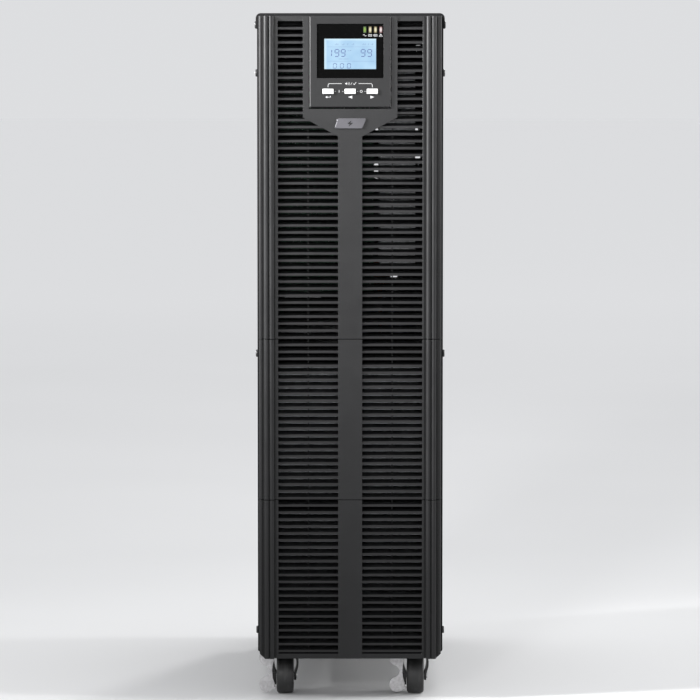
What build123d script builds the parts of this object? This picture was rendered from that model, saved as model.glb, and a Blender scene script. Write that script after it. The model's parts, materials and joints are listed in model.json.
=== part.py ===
from build123d import *
import math
import os

# Tower uninterruptible power supply on four swivel casters.  Millimetres, +Z up.
# The front faces -Y.  The origin is on the floor, under the middle of the outer box.

# ---------------------------------------------------------------- driving dimensions

HEIGHT = 688.0  # floor to the top of the cover
DEPTH = 442.0  # front ridges to the cable grommets
CABINET_WIDTH = 186.0  # over the side panels, without the screw heads
SHEET = 1.2  # sheet steel
PAN_BOTTOM = 50.0  # underside of the base pan
PAN_SHEET = 1.5

FRONT = -DEPTH / 2
REAR = DEPTH / 2
SIDE = CABINET_WIDTH / 2
BODY_FRONT = FRONT + 22.0  # front flanges of the side panels
BODY_REAR = REAR - 5.0  # outer face of the rear panel
INNER_SIDE = SIDE - SHEET - 0.2  # outer face of everything that the side panels wrap
FRAME_FRONT = BODY_FRONT + SHEET + 0.2
PANEL_BOTTOM = 48.0
PANEL_TOP = HEIGHT - 8.0
PAN_TOP = PAN_BOTTOM + PAN_SHEET

COVER_SIDE = SIDE + 1.3
COVER_SKIRT = 15.5
COVER_RADIUS = 5.0

# bezels, from the floor up: bottom, middle, top
BEZEL_HALF = 91.0
BEZEL_BACK = BODY_FRONT - 0.3
BEZEL_EDGES = (41.4, 201.9, 363.3, HEIGHT - 3.0)
SEAM = 0.35  # each bezel stops this far from the seam line
SLAT_PITCH = 7.0
SLAT_END = 73.0
SLAT_BACK = 18.0  # depths below are measured back from the front ridges
PLATE_DEPTH = 2.4
PLATE_THICK = 2.5
WALL_DEPTH = 20.0
BAND_HALF = 12.0  # plain band down the middle
NECK_TOP = 584.5  # where the plain plate starts to narrow
NECK_BOTTOM = 565.6
PLATE_HALF = 47.0
RAIL = 5.0
CORNER_CUT = 5.2
STUD_X = 84.0
STUD_RADIUS = 2.2
STUD_HOLE = 2.5
STUD_HEIGHTS = ((60.0, 170.0), (222.0, 332.0), (385.0, 480.0, 570.0, 655.0))

# control panel
FASCIA_HALF = 40.4
FASCIA_LOW = 594.2
FASCIA_HIGH = 684.6
FASCIA_DEPTH = 1.2
FASCIA_THICK = 2.4
WINDOW_HALF = 33.0
WINDOW_LOW = 623.7
WINDOW_HIGH = 677.1
WINDOW_DEPTH = 1.6
LCD_HALF = 25.6
LCD_LOW = 632.6
LCD_HIGH = 662.4
LIGHT_X = (14.5, 19.8, 25.1, 30.4)
LIGHT_Z = 671.5
LIGHT_SIZE = (2.8, 6.0)
KEY_X = (-22.0, 0.0, 22.0)
KEY_Z = 610.4
KEY_SIZE = (10.8, 5.0)
KEY_TRAVEL = 1.2
BOARD_DEPTH = 12.0
BADGE_Z = 578.6
BADGE_SIZE = (32.0, 10.0)
BADGE_SLANT = 4.0

# battery bays and the electronics deck
BAY_HALF = 80.0
SHELF_Z = 200.0
DECK_Z = 350.0
TRAY_HALF = 78.0
TRAY_FLOORS = (53.2, 203.9)
TRAY_HIGH = 135.0
BAY_OPENINGS = ((52.6, 190.0), (203.3, 341.0))
TRAY_FRONT = -190.0
TRAY_BACK = 209.2
BATTERY = (150.6, 93.6, 64.6)  # lying on its side, terminals to the front
LAYER_GAP = 3.0
BATTERY_PITCH = 98.6
BATTERY_FIRST = -136.2  # middle of the front row
ROWS = 4
TERMINAL_X = 60.0
TERMINAL_RISE = 12.0  # terminals stand this far from the middle of the gap between layers

# rear panel
FAN_X = 43.0
FAN_Z = 545.0
FAN_SIZE = 80.0
FAN_DEEP = 25.0
FAN_BORE = 38.0
FAN_SCREW = 35.75
FAN_POST = 2.5
GLAND_X = (-45.0, 0.0, 45.0)
GLAND_Z = 406.0
GLAND_BORE = 9.0
TERMINAL_OPENING = (70.0, 392.0, 452.0)
BREAKER_X = 45.0
BREAKER_Z = 480.0
BREAKER_PIVOT_Y = 213.0
BREAKER_TILT = 25.0  # the handle rests this far above level
PORT_Z = 650.0
SERIAL_X = 52.0
SERIAL_SPACING = 25.0
USB_X = 79.0
SLOT_X = -30.0

# panel screws
SCREW_Y = (-186.0, 203.0)
SCREW_Z = (66.3, 346.8, 628.4)
COVER_SCREW_Z = 676.5
SCREW_HEAD = 3.75
SCREW_SHANK = 1.9
SCREW_HOLE = 2.05

# casters
CASTER_X = 66.0
CASTER_Y = 162.0
TRAIL = 14.0
WHEEL_RADIUS = 19.0
WHEEL_HALF = 8.5
AXLE_RADIUS = 3.0
CASTER_PLATE = 42.0
CASTER_BOLT = 16.0
CROWN_LOW = 42.5
CROWN_HIGH = 44.5
KINGPIN_RADIUS = 4.0
LEG_IN = 9.0  # legs beside the wheel hub
LEG_OUT = 11.2
LEG_FRONT = -19.9
LEVER_FRONT = -22.6
LEVER_BACK = -20.2
LOBE_RADIUS = 7.8
LOBE_X = -18.5
LOBE_LOW = 10.0
LOBE_HIGH = 37.0
NECK_OUT = -16.2
NECK_IN = -13.0
PIVOT_X = -14.6
PIVOT_Z = (LOBE_LOW + LOBE_HIGH) / 2


# ---------------------------------------------------------------- helpers

def block(x0, x1, y0, y1, z0, z1):
    """Rectangular solid between two corners."""
    return Pos((x0 + x1) / 2, (y0 + y1) / 2, (z0 + z1) / 2) * Box(x1 - x0, y1 - y0, z1 - z0)


def rod_x(radius, x0, x1, y, z):
    return Pos((x0 + x1) / 2, y, z) * Rot(0, 90, 0) * Cylinder(radius, x1 - x0)


def rod_y(radius, y0, y1, x, z):
    return Pos(x, (y0 + y1) / 2, z) * Rot(90, 0, 0) * Cylinder(radius, y1 - y0)


def rod_z(radius, z0, z1, x, y):
    return Pos(x, y, (z0 + z1) / 2) * Cylinder(radius, z1 - z0)


def closed(points):
    return Polyline(*points, close=True)


def prism_x(outline, x0, x1):
    """Solid with a (y, z) outline, from x0 to x1."""
    return extrude(Plane.YZ.offset(x0) * make_face(outline), amount=x1 - x0, dir=(1, 0, 0))


def prism_y(outline, y0, y1):
    """Solid with an (x, z) outline, from y0 to y1."""
    return extrude(Plane.XZ.offset(-y0) * make_face(outline), amount=y1 - y0, dir=(0, 1, 0))


def prism_z(outline, z0, z1):
    """Solid with an (x, y) outline, from z0 to z1."""
    return extrude(Plane.XY.offset(z0) * make_face(outline), amount=z1 - z0, dir=(0, 0, 1))


def joined(shapes):
    """One solid out of pieces that overlap."""
    return Part() + list(shapes)


def separate(shapes):
    """A group of solids that stay apart."""
    return Compound([solid for shape in shapes for solid in shape.solids()])


def both_sides(shape):
    return [shape, mirror(shape, about=Plane.YZ)]


def depth(value):
    """Y of a point this far behind the front ridges."""
    return FRONT + value


# ---------------------------------------------------------------- bezels

def pillar(z0, z1):
    """Right-hand column: an inner lip, two rounded ridges between grooves, and a rounded rim."""
    lip, groove, valley, hollow, wall = 3.0, 5.0, 1.6, 7.5, 2.2
    back = BEZEL_BACK - FRONT
    rim = BEZEL_HALF - 1.8
    outline = [
        Polyline((72, WALL_DEPTH), (72, lip), (74, lip), (74, groove), (76, groove), (76, valley)),
        ThreePointArc((76, valley), (78.5, 0), (81, valley)),
        ThreePointArc((81, valley), (83.5, 0), (86, valley)),
        Polyline((86, valley), (86, groove), (88.2, groove), (88.2, lip), (rim, lip)),
        ThreePointArc((rim, lip), (BEZEL_HALF - 0.55, lip + 0.55), (BEZEL_HALF, lip + 1.8)),
        Polyline(
            (BEZEL_HALF, lip + 1.8),
            (BEZEL_HALF, back),
            (BEZEL_HALF - wall, back),
            (BEZEL_HALF - wall, hollow),
            (74, hollow),
            (74, WALL_DEPTH),
            (72, WALL_DEPTH),
        ),
    ]
    return Pos(0, FRONT, 0) * prism_z(outline, z0, z1)


def plain_outline(z0, z1, flared):
    """Outline of the plain area: a band, and on the top bezel the wide plate above it."""
    right = [(BAND_HALF, z0)]
    if flared:
        right += [(BAND_HALF, NECK_BOTTOM), (PLATE_HALF, NECK_TOP), (PLATE_HALF, z1)]
    else:
        right += [(BAND_HALF, z1)]
    left = [(-x, z) for x, z in reversed(right)]
    return closed(right + left)


def louvres(first, count):
    """Slats whose front edges stand up and whose backs slope upward."""
    section = [(3.2, 0), (3.2, 2.2), (SLAT_BACK, 4.9), (SLAT_BACK, 2.7)]
    slats = []
    for index in range(count):
        base = first + index * SLAT_PITCH
        outline = closed([(depth(y), base + z) for y, z in section])
        slats.append(prism_x(outline, -SLAT_END, SLAT_END))
    return slats


def studs(heights):
    """Push-in studs on the back of a bezel."""
    pegs = []
    for z in heights:
        peg = rod_y(STUD_RADIUS, depth(7.0), FRAME_FRONT + 3.0, STUD_X, z)
        collar = rod_y(4.0, depth(7.0), BEZEL_BACK - 2.0, STUD_X, z)
        pegs += both_sides(peg + collar)
    return pegs


def bezel(z0, z1, first_slat, slat_count, stud_heights, flared=False, closed_low=False):
    outline = plain_outline(z0, z1, flared)
    inside = offset(make_face(outline), amount=-2.0, kind=Kind.INTERSECTION).edges()
    skin = PLATE_DEPTH + PLATE_THICK
    plain = prism_y(outline, depth(PLATE_DEPTH), depth(WALL_DEPTH))
    plain -= prism_y(inside, depth(skin), depth(WALL_DEPTH + 1))
    clear = prism_y(inside, depth(0), depth(WALL_DEPTH + 1))

    grille = louvres(first_slat, slat_count)
    rib_top = NECK_BOTTOM + 12.0 if flared else z1
    grille += both_sides(block(41.4, 42.6, depth(12), depth(WALL_DEPTH), z0, rib_top))
    grille = joined(grille) - clear

    pieces = [plain, grille] + both_sides(pillar(z0, z1)) + studs(stud_heights)
    edge = BEZEL_HALF - 1.0
    if flared:
        pieces.append(block(-SLAT_END, SLAT_END, depth(3.0), depth(5.5), z1 - RAIL, z1) - clear)
        pieces.append(block(-edge, edge, depth(5.2), BEZEL_BACK, z1 - 2.2, z1))
    if closed_low:
        pieces.append(block(-SLAT_END, SLAT_END, depth(3.0), depth(5.5), z0, z0 + RAIL))
        pieces.append(block(-edge, edge, depth(5.2), BEZEL_BACK, z0, z0 + 2.2))
        pieces.append(block(-edge, edge, BEZEL_BACK - 2.2, BEZEL_BACK, z0, PAN_TOP + 2.0))
    return joined(pieces)


def bezel_bottom():
    z0, z1 = BEZEL_EDGES[0], BEZEL_EDGES[1] - SEAM
    count = 22
    first = BEZEL_EDGES[1] - count * SLAT_PITCH
    body = bezel(z0, z1, first, count, STUD_HEIGHTS[0], closed_low=True)
    corner = BEZEL_HALF + 0.2
    cut = closed([(corner - CORNER_CUT, z0), (corner, z0), (corner, z0 + CORNER_CUT)])
    for wedge in both_sides(prism_y(cut, FRONT - 1, BEZEL_BACK + 1)):
        body -= wedge
    return body


def bezel_middle():
    count = 23
    first = BEZEL_EDGES[2] - count * SLAT_PITCH
    z0, z1 = BEZEL_EDGES[1] + SEAM, BEZEL_EDGES[2] - SEAM
    return bezel(z0, z1, first, count, STUD_HEIGHTS[1])


def bezel_top():
    """Upper bezel, with the opening for the control panel and a notch for the cover's lip."""
    z0, z1 = BEZEL_EDGES[2] + SEAM, BEZEL_EDGES[3]
    body = bezel(z0, z1, z0, 45, STUD_HEIGHTS[2], flared=True)
    opening = FASCIA_HALF + 0.6
    low = FASCIA_LOW - 1.2
    body -= block(-opening, opening, FRONT, depth(WALL_DEPTH + 2), low, z1 - 2.2)
    body -= block(-opening, opening, FRONT, depth(4.0), low, z1 + 1)
    body -= block(-SIDE, SIDE, BODY_FRONT - 1.7, BODY_FRONT, HEIGHT - 17, HEIGHT)
    for x in (-9.0, 9.0):
        body -= rod_y(1.1, depth(0), depth(6), x, BADGE_Z)
    return body


# ---------------------------------------------------------------- control panel

def light_openings(clearance, y0, y1):
    half_x = LIGHT_SIZE[0] / 2 + clearance
    half_z = LIGHT_SIZE[1] / 2 + clearance
    return [block(x - half_x, x + half_x, y0, y1, LIGHT_Z - half_z, LIGHT_Z + half_z) for x in LIGHT_X]


def lcd_opening(clearance, y0, y1):
    return block(
        -LCD_HALF - clearance, LCD_HALF + clearance, y0, y1, LCD_LOW - clearance, LCD_HIGH + clearance
    )


def control_fascia():
    """Panel with the window pocket, key holes, a skirt behind and four board pillars."""
    front, back = depth(FASCIA_DEPTH), depth(FASCIA_DEPTH + FASCIA_THICK)
    plate = block(-FASCIA_HALF, FASCIA_HALF, front, back, FASCIA_LOW, FASCIA_HIGH)
    plate = chamfer(plate.faces().sort_by(Axis.Y)[0].edges(), 1.0)
    skirt = block(-39.4, 39.4, back - 0.5, depth(9.0), FASCIA_LOW + 1, FASCIA_HIGH - 2.4)
    skirt -= block(-37.8, 37.8, back - 1, depth(10.0), FASCIA_LOW + 2.6, FASCIA_HIGH - 4.0)
    body = plate + skirt
    for x in (-35.6, 35.6):
        for z in (FASCIA_LOW + 5, FASCIA_HIGH - 6.4):
            body += rod_y(2.4, back - 0.5, depth(BOARD_DEPTH), x, z)
    gap = 0.2
    body -= block(
        -WINDOW_HALF - gap,
        WINDOW_HALF + gap,
        front,
        depth(WINDOW_DEPTH + 1.2),
        WINDOW_LOW - gap,
        WINDOW_HIGH + gap,
    )
    body -= lcd_opening(0.4, front, back + 1)
    for hole in light_openings(0.2, front, back + 1):
        body -= hole
    for x in KEY_X:
        half_x, half_z = KEY_SIZE[0] / 2 + gap, KEY_SIZE[1] / 2 + gap
        body -= block(x - half_x, x + half_x, front, back + 1, KEY_Z - half_z, KEY_Z + half_z)
    return body


def display_window():
    """Glossy black sheet with clear openings for the display and the four lights."""
    front, back = depth(WINDOW_DEPTH), depth(WINDOW_DEPTH + 1.2)
    sheet = block(-WINDOW_HALF, WINDOW_HALF, front, back, WINDOW_LOW, WINDOW_HIGH)
    sheet = fillet(sheet.edges().filter_by(Axis.Y), 1.0)
    sheet -= lcd_opening(0.15, front - 1, back + 1)
    for hole in light_openings(0.1, front - 1, back + 1):
        sheet -= hole
    return sheet


def lcd_module():
    glass = lcd_opening(0.0, depth(WINDOW_DEPTH + 0.2), depth(4.5))
    frame = block(-30, 30, depth(3.8), depth(9.0), LCD_LOW - 4.6, LCD_HIGH + 4.6)
    return glass + frame


def indicator_lenses():
    return separate(light_openings(0.0, depth(WINDOW_DEPTH - 0.2), depth(BOARD_DEPTH - 0.8)))


def display_board():
    """Circuit board with four lamps, three key switches and a cable header."""
    top = depth(BOARD_DEPTH)
    board = block(-38, 38, top, top + 1.6, FASCIA_LOW + 2, FASCIA_HIGH - 3.6)
    for x in LIGHT_X:
        board += block(x - 1.5, x + 1.5, top - 0.8, top + 0.1, LIGHT_Z - 1, LIGHT_Z + 1)
    for x in KEY_X:
        board += block(x - 3, x + 3, top - 1.2, top + 0.1, KEY_Z - 3, KEY_Z + 3)
        board += rod_y(1.75, top - 1.7, top - 1.0, x, KEY_Z)
    board += block(-12, 12, top + 1.5, top + 6.0, 635, 643)
    return board


def key(x):
    """White key: cap, retaining flange and a stem that meets the switch."""
    wide, high = KEY_SIZE
    wall_back = depth(FASCIA_DEPTH + FASCIA_THICK + 0.1)
    cap = block(x - wide / 2, x + wide / 2, depth(0.2), wall_back + 0.2, KEY_Z - high / 2, KEY_Z + high / 2)
    cap = fillet(cap.edges().filter_by(Axis.Y), 0.5)
    cap = fillet(cap.faces().sort_by(Axis.Y)[0].edges(), 0.3)
    lip = wide / 2 + 1.1
    flange = block(x - lip, x + lip, wall_back, wall_back + 1.2, KEY_Z - 3.5, KEY_Z + 3.5)
    stem = rod_y(2.0, wall_back + 1.0, depth(BOARD_DEPTH - 1.7 - KEY_TRAVEL - 0.1), x, KEY_Z)
    return cap + flange + stem


def badge_plate():
    """Slanted maker's plate with a lightning bolt cut through, on two pegs."""
    half, high = BADGE_SIZE[0] / 2, BADGE_SIZE[1] / 2
    low, top = BADGE_Z - high, BADGE_Z + high
    outline = closed(
        [(-half, low), (half - BADGE_SLANT, low), (half, top), (-half + BADGE_SLANT, top)]
    )
    plate = prism_y(outline, depth(PLATE_DEPTH - 0.8), depth(PLATE_DEPTH))
    plate = fillet(plate.edges().filter_by(Axis.Y), 1.0)
    bolt = [(1.6, 4.0), (-3.0, -0.6), (-0.4, -0.6), (-1.6, -4.0), (3.0, 0.6), (0.4, 0.6)]
    cut = closed([(x, BADGE_Z + z * 0.85) for x, z in bolt])
    plate -= prism_y(cut, depth(0), depth(PLATE_DEPTH + 1))
    for x in (-9.0, 9.0):
        plate += rod_y(1.0, depth(PLATE_DEPTH - 0.2), depth(5.5), x, BADGE_Z)
    return plate


# ---------------------------------------------------------------- cabinet

def screw_holes(z_values, y_values):
    return [rod_x(SCREW_HOLE, -SIDE - 5, SIDE + 5, y, z) for y in y_values for z in z_values]


def stud_holes():
    holes = []
    for heights in STUD_HEIGHTS:
        for z in heights:
            holes += both_sides(rod_y(STUD_HOLE, BODY_FRONT - 1, FRAME_FRONT + 3, STUD_X, z))
    return holes


def cut_all(body, tools):
    for tool in tools:
        body -= tool
    return body


def side_panel_right():
    """Sheet with a front flange that the bezels snap into and a toe below them."""
    toe_back = BODY_FRONT + 9
    toe_low = BEZEL_EDGES[0] + 5.6
    toe_foot = BEZEL_EDGES[0] + 0.8
    sheet = closed(
        [
            (BODY_FRONT, toe_low),
            (toe_back, toe_low),
            (toe_back + 2, PANEL_BOTTOM),
            (BODY_REAR, PANEL_BOTTOM),
            (BODY_REAR, PANEL_TOP),
            (BODY_FRONT, PANEL_TOP),
        ]
    )
    flange_inner = SIDE - 12
    flange = closed(
        [
            (flange_inner, toe_foot),
            (SIDE - 5.5, toe_foot),
            (SIDE, toe_low),
            (SIDE, PANEL_TOP),
            (flange_inner, PANEL_TOP),
        ]
    )
    body = prism_x(sheet, SIDE - SHEET, SIDE) + prism_y(flange, BODY_FRONT, BODY_FRONT + SHEET)
    body = cut_all(body, screw_holes(SCREW_Z + (COVER_SCREW_Z,), SCREW_Y))
    return cut_all(body, stud_holes())


def side_panel_left():
    return mirror(side_panel_right(), about=Plane.YZ)


def top_cover():
    """Folded lid with rounded long edges and a skirt that hides the panel tops."""
    low = HEIGHT - COVER_SKIRT
    y0, y1 = BODY_FRONT - 1.4, BODY_REAR + 1.4
    shell = block(-COVER_SIDE, COVER_SIDE, y0, y1, low, HEIGHT)
    long_edges = shell.edges().filter_by(Axis.Y).sort_by(Axis.Z)[2:]
    shell = fillet(long_edges, COVER_RADIUS)
    inner = COVER_SIDE - SHEET
    hollow = block(-inner, inner, y0 + SHEET, y1 - SHEET, low - 20, HEIGHT - SHEET)
    hollow = fillet(hollow.edges().filter_by(Axis.Y).sort_by(Axis.Z)[2:], COVER_RADIUS - SHEET)
    return cut_all(shell - hollow, screw_holes((COVER_SCREW_Z,), SCREW_Y))


def front_frame():
    """Folded sheet behind the bezels: two battery openings and an air grille above them."""
    web = block(-INNER_SIDE, INNER_SIDE, FRAME_FRONT, FRAME_FRONT + SHEET, PAN_TOP, PANEL_TOP)
    body = web
    for flange in both_sides(
        block(INNER_SIDE - SHEET, INNER_SIDE, FRAME_FRONT, FRAME_FRONT + 22, PAN_TOP, PANEL_TOP)
    ):
        body += flange
    cuts = []
    for low, high in BAY_OPENINGS:
        cuts.append(block(-BAY_HALF, BAY_HALF, FRAME_FRONT - 1, FRAME_FRONT + 2, low, high))
    pitch = 12.0
    row = DECK_Z + 12.0
    while row < PANEL_TOP - 12:
        cuts += both_sides(block(5, 70, FRAME_FRONT - 1, FRAME_FRONT + 2, row, row + 8.0))
        row += pitch
    body = cut_all(body, cuts)
    body = cut_all(body, screw_holes(SCREW_Z + (COVER_SCREW_Z,), SCREW_Y[:1]))
    return cut_all(body, stud_holes())


def base_pan():
    """Floor of the cabinet, with side flanges and two rails that carry the lower tray."""
    body = block(-INNER_SIDE, INNER_SIDE, FRAME_FRONT, BODY_REAR - 1.4, PAN_BOTTOM, PAN_TOP)
    for flange in both_sides(block(INNER_SIDE - SHEET, INNER_SIDE, -170, 188, PAN_TOP - 0.5, PAN_TOP + 10)):
        body += flange
    for rail in both_sides(block(45, 55, -194, 205, PAN_TOP - 0.5, TRAY_FLOORS[0] - 0.3)):
        body += rail
    holes = [
        rod_z(2.1, PAN_BOTTOM - 1, PAN_TOP + 3, x, y) for x, y in caster_bolt_positions()
    ]
    return cut_all(body, holes)


def shelf(z, rail_top=None):
    """Cross shelf with turned-up edges."""
    half = INNER_SIDE - SHEET - 0.2
    y0, y1 = FRAME_FRONT + SHEET + 0.2, BODY_REAR - SHEET - 0.2
    body = block(-half, half, y0, y1, z, z + SHEET)
    edge = block(half - SHEET, half, y0 + 24, y1 - 30, z, z + 9)
    for flange in both_sides(edge):
        body += flange
    if rail_top:
        for rail in both_sides(block(45, 55, y0 + 2, y1 - 8, z + SHEET - 0.5, rail_top)):
            body += rail
    return body


def battery_shelf():
    return shelf(SHELF_Z, TRAY_FLOORS[1] - 0.3)


def electronics_deck():
    return shelf(DECK_Z)


def panel_screws():
    """Cross-recessed screws that hold the side panels and the cover."""
    screws = []
    for y in SCREW_Y:
        for z in SCREW_Z:
            screws += both_sides(side_screw(SIDE, y, z))
        screws += both_sides(side_screw(COVER_SIDE, y, COVER_SCREW_Z))
    return separate(screws)


def side_screw(face, y, z):
    rise = 2.0 if face == SIDE else 1.3
    head = rod_x(SCREW_HEAD, face, face + rise, y, z)
    head = fillet(head.faces().sort_by(Axis.X)[-1].edges(), 0.9)
    head -= block(face + rise - 0.8, face + rise + 1, y - 2.2, y + 2.2, z - 0.4, z + 0.4)
    head -= block(face + rise - 0.8, face + rise + 1, y - 0.4, y + 0.4, z - 2.2, z + 2.2)
    return head + rod_x(SCREW_SHANK, INNER_SIDE - 4, face + 0.3, y, z)


# ---------------------------------------------------------------- battery trays

def tray(floor):
    """Open box with a pull lip folded forward along the top of its front wall."""
    top = floor + TRAY_HIGH
    body = block(-TRAY_HALF, TRAY_HALF, TRAY_FRONT, TRAY_BACK, floor, floor + SHEET)
    body += block(-TRAY_HALF, TRAY_HALF, TRAY_FRONT, TRAY_FRONT + SHEET, floor, top)
    body += block(-TRAY_HALF, TRAY_HALF, TRAY_BACK - SHEET, TRAY_BACK, floor, floor + 60)
    for wall in both_sides(block(TRAY_HALF - SHEET, TRAY_HALF, TRAY_FRONT, TRAY_BACK, floor, floor + 40)):
        body += wall
    return body + block(-40, 40, TRAY_FRONT - 6.5, TRAY_FRONT + 0.5, top - SHEET, top)


def row_middle(row):
    return BATTERY_FIRST + row * BATTERY_PITCH


def layer_gap_middle(floor):
    return floor + SHEET + BATTERY[2] + LAYER_GAP / 2


def batteries(floor):
    """Eight sealed blocks in two layers, lying on their sides."""
    long, deep, thick = BATTERY
    gap = layer_gap_middle(floor)
    cells = []
    for row in range(ROWS):
        y0 = row_middle(row) - deep / 2
        for up in (-1, 1):
            near, far = gap + up * LAYER_GAP / 2, gap + up * (LAYER_GAP / 2 + thick)
            case = block(-long / 2, long / 2, y0, y0 + deep, min(near, far), max(near, far))
            case = fillet(case.edges().filter_by(Axis.Y), 2.0)
            z = gap + up * TERMINAL_RISE
            for x in (-TERMINAL_X, TERMINAL_X):
                case += block(x - 3, x + 3, y0 - 2.4, y0 + 1, z - 4, z + 4)
            cells.append(case)
    return separate(cells)


def battery_links(floor):
    """Flat copper links: one up each row, and one through the layer gap to the next row."""
    gap = layer_gap_middle(floor)
    reach = TERMINAL_RISE + 4
    x0, x1 = -TERMINAL_X - 4, -TERMINAL_X + 4
    links = []
    for row in range(ROWS):
        face = row_middle(row) - BATTERY[1] / 2 - 2.4
        links.append(block(-x1, -x0, face - 0.8, face, gap - reach, gap + reach))
        if row + 1 < ROWS:
            following = face + BATTERY_PITCH
            link = block(x0, x1, face - 0.8, face, gap - 0.5, gap + reach)
            link += block(x0, x1, face - 0.8, following, gap - 0.5, gap + 0.5)
            link += block(x0, x1, following - 0.8, following, gap - reach, gap + 0.5)
            links.append(link)
    return separate(links)


# ---------------------------------------------------------------- electronics

def main_board():
    """Upright power board with its relays, and a control card across the front of the bay."""
    x = -72.0
    card = -160.0
    body = block(x, x + 1.6, -170, 160, 374, 660)
    for index in range(5):
        z = 392.0 + index * 24
        body += block(x + 1.5, x + 18, 100, 128, z, z + 18)
    body += block(x + 1.5, 24, card, card + 1.6, 408, 640)
    body += block(-50, 10, card - 9, card + 0.1, 524, 532)
    for index in range(3):
        left = -62.0 + index * 28
        body += block(left, left + 16, card - 2.4, card + 0.1, 560, 576)
    return body


def heatsinks():
    """Four finned aluminium extrusions: two beside the board and two over the inductors."""
    sinks = []
    for side, low in ((-1, 400), (1, 430)):
        for y0 in (-140.0, -10.0):
            sink = block(60, 66, y0, y0 + 90, low, 640)
            for index in range(10):
                y = y0 + 1 + index * 9.6
                sink += block(30, 60.5, y, y + 1.6, low, 640)
            sinks.append(sink if side > 0 else mirror(sink, about=Plane.YZ))
    return separate(sinks)


def capacitors():
    """Upright can capacitors on the deck."""
    cans = []
    for row in range(2):
        for column in range(4):
            x, y = 12.0 + row * 38, -150.0 + column * 38
            can = rod_z(16.5, DECK_Z + SHEET, DECK_Z + 52, x, y)
            cans.append(fillet(can.faces().sort_by(Axis.Z)[-1].edges(), 1.5))
    return separate(cans)


def inductors():
    """Three wound toroids standing on the deck."""
    coils = []
    for index in range(3):
        y = 40.0 + index * 50
        ring = Pos(30, y, DECK_Z + SHEET + 36.2) * Rot(0, 90, 0) * Torus(23, 13)
        coils.append(ring)
    return separate(coils)


# ---------------------------------------------------------------- rear panel

def fan_places():
    return ((-FAN_X, FAN_Z), (FAN_X, FAN_Z))


def rear_panel():
    """Folded sheet with every opening at the back of the cabinet."""
    y0 = BODY_REAR - SHEET
    body = block(-INNER_SIDE, INNER_SIDE, y0, BODY_REAR, PAN_TOP, PANEL_TOP)
    for flange in both_sides(block(INNER_SIDE - SHEET, INNER_SIDE, 190, BODY_REAR, PAN_TOP, PANEL_TOP)):
        body += flange
    cuts = screw_holes(SCREW_Z + (COVER_SCREW_Z,), SCREW_Y[1:])
    for x, z in fan_places():
        cuts.append(rod_y(FAN_BORE, y0 - 1, BODY_REAR + 1, x, z))
        for dx in (-FAN_SCREW, FAN_SCREW):
            for dz in (-FAN_SCREW, FAN_SCREW):
                cuts.append(rod_y(2.2, y0 - 1, BODY_REAR + 1, x + dx, z + dz))
    half, low, high = TERMINAL_OPENING
    cuts.append(block(-half, half, y0 - 1, BODY_REAR + 1, low, high))
    cuts.append(
        block(BREAKER_X - 16.2, BREAKER_X + 16.2, y0 - 1, BODY_REAR + 1, BREAKER_Z - 16.2, BREAKER_Z + 16.2)
    )
    cuts.append(block(SERIAL_X - 9.2, SERIAL_X + 9.2, y0 - 1, BODY_REAR + 1, PORT_Z - 5, PORT_Z + 5))
    for x in (SERIAL_X - SERIAL_SPACING / 2, SERIAL_X + SERIAL_SPACING / 2):
        cuts.append(rod_y(1.7, y0 - 1, BODY_REAR + 1, x, PORT_Z))
    cuts.append(block(USB_X - 6.3, USB_X + 6.3, y0 - 1, BODY_REAR + 1, PORT_Z - 5.8, PORT_Z + 5.8))
    cuts.append(block(SLOT_X - 48, SLOT_X + 48, y0 - 1, BODY_REAR + 1, PORT_Z - 12, PORT_Z + 12))
    for x in (SLOT_X - 52, SLOT_X + 52):
        cuts.append(rod_y(1.6, y0 - 1, BODY_REAR + 1, x, PORT_Z))
    for row in range(19):
        z = 96.0 + row * 13
        for x in (-50.0, 0.0, 50.0):
            cuts.append(block(x - 21, x + 21, y0 - 1, BODY_REAR + 1, z, z + 3.4))
    return cut_all(body, cuts)


def fan_frames():
    """Square housings with a round bore, a motor seat and four struts."""
    frames = []
    y1 = BODY_REAR - SHEET - 0.2
    y0 = y1 - FAN_DEEP
    half = FAN_SIZE / 2
    for x, z in fan_places():
        frame = block(x - half, x + half, y0, y1, z - half, z + half)
        frame = fillet(frame.edges().filter_by(Axis.Y), 3.0)
        frame -= rod_y(FAN_BORE, y0 - 1, y1 + 1, x, z)
        for dx in (-FAN_SCREW, FAN_SCREW):
            for dz in (-FAN_SCREW, FAN_SCREW):
                frame -= rod_y(2.1, y0 - 1, y1 + 1, x + dx, z + dz)
        frame += rod_y(17.0, y0, y0 + 3.0, x, z)
        frame += rod_y(FAN_POST, y0, y1 - 5, x, z)
        for turn in (45, 135):
            strut = Rot(0, turn, 0) * block(-38.5, 38.5, y0, y0 + 3.0, -2.0, 2.0)
            frame += Pos(x, 0, z) * strut
        frames.append(frame)
    return separate(frames)


def fan_rotor(x):
    """Hub and seven pitched blades around the motor post."""
    y1 = BODY_REAR - SHEET - 0.2
    front, back = y1 - 21.0, y1 - 2.5
    hub = rod_y(16.0, front, back, 0, 0) - rod_y(FAN_POST + 0.06, front - 1, back - 2.0, 0, 0)
    middle = (front + back) / 2
    blades = []
    for index in range(7):
        blade = block(12.0, 36.6, -8.5, 8.5, -0.9, 0.9)
        blade = Rot(38, 0, 0) * blade
        blades.append(Rot(0, index * 360 / 7, 0) * Pos(0, middle, 0) * blade)
    rotor = joined([hub] + blades)
    rotor &= rod_y(36.6, front, back, 0, 0) - rod_y(FAN_POST + 0.06, front - 1, back - 2.0, 0, 0)
    return Pos(x, 0, FAN_Z) * rotor


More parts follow.
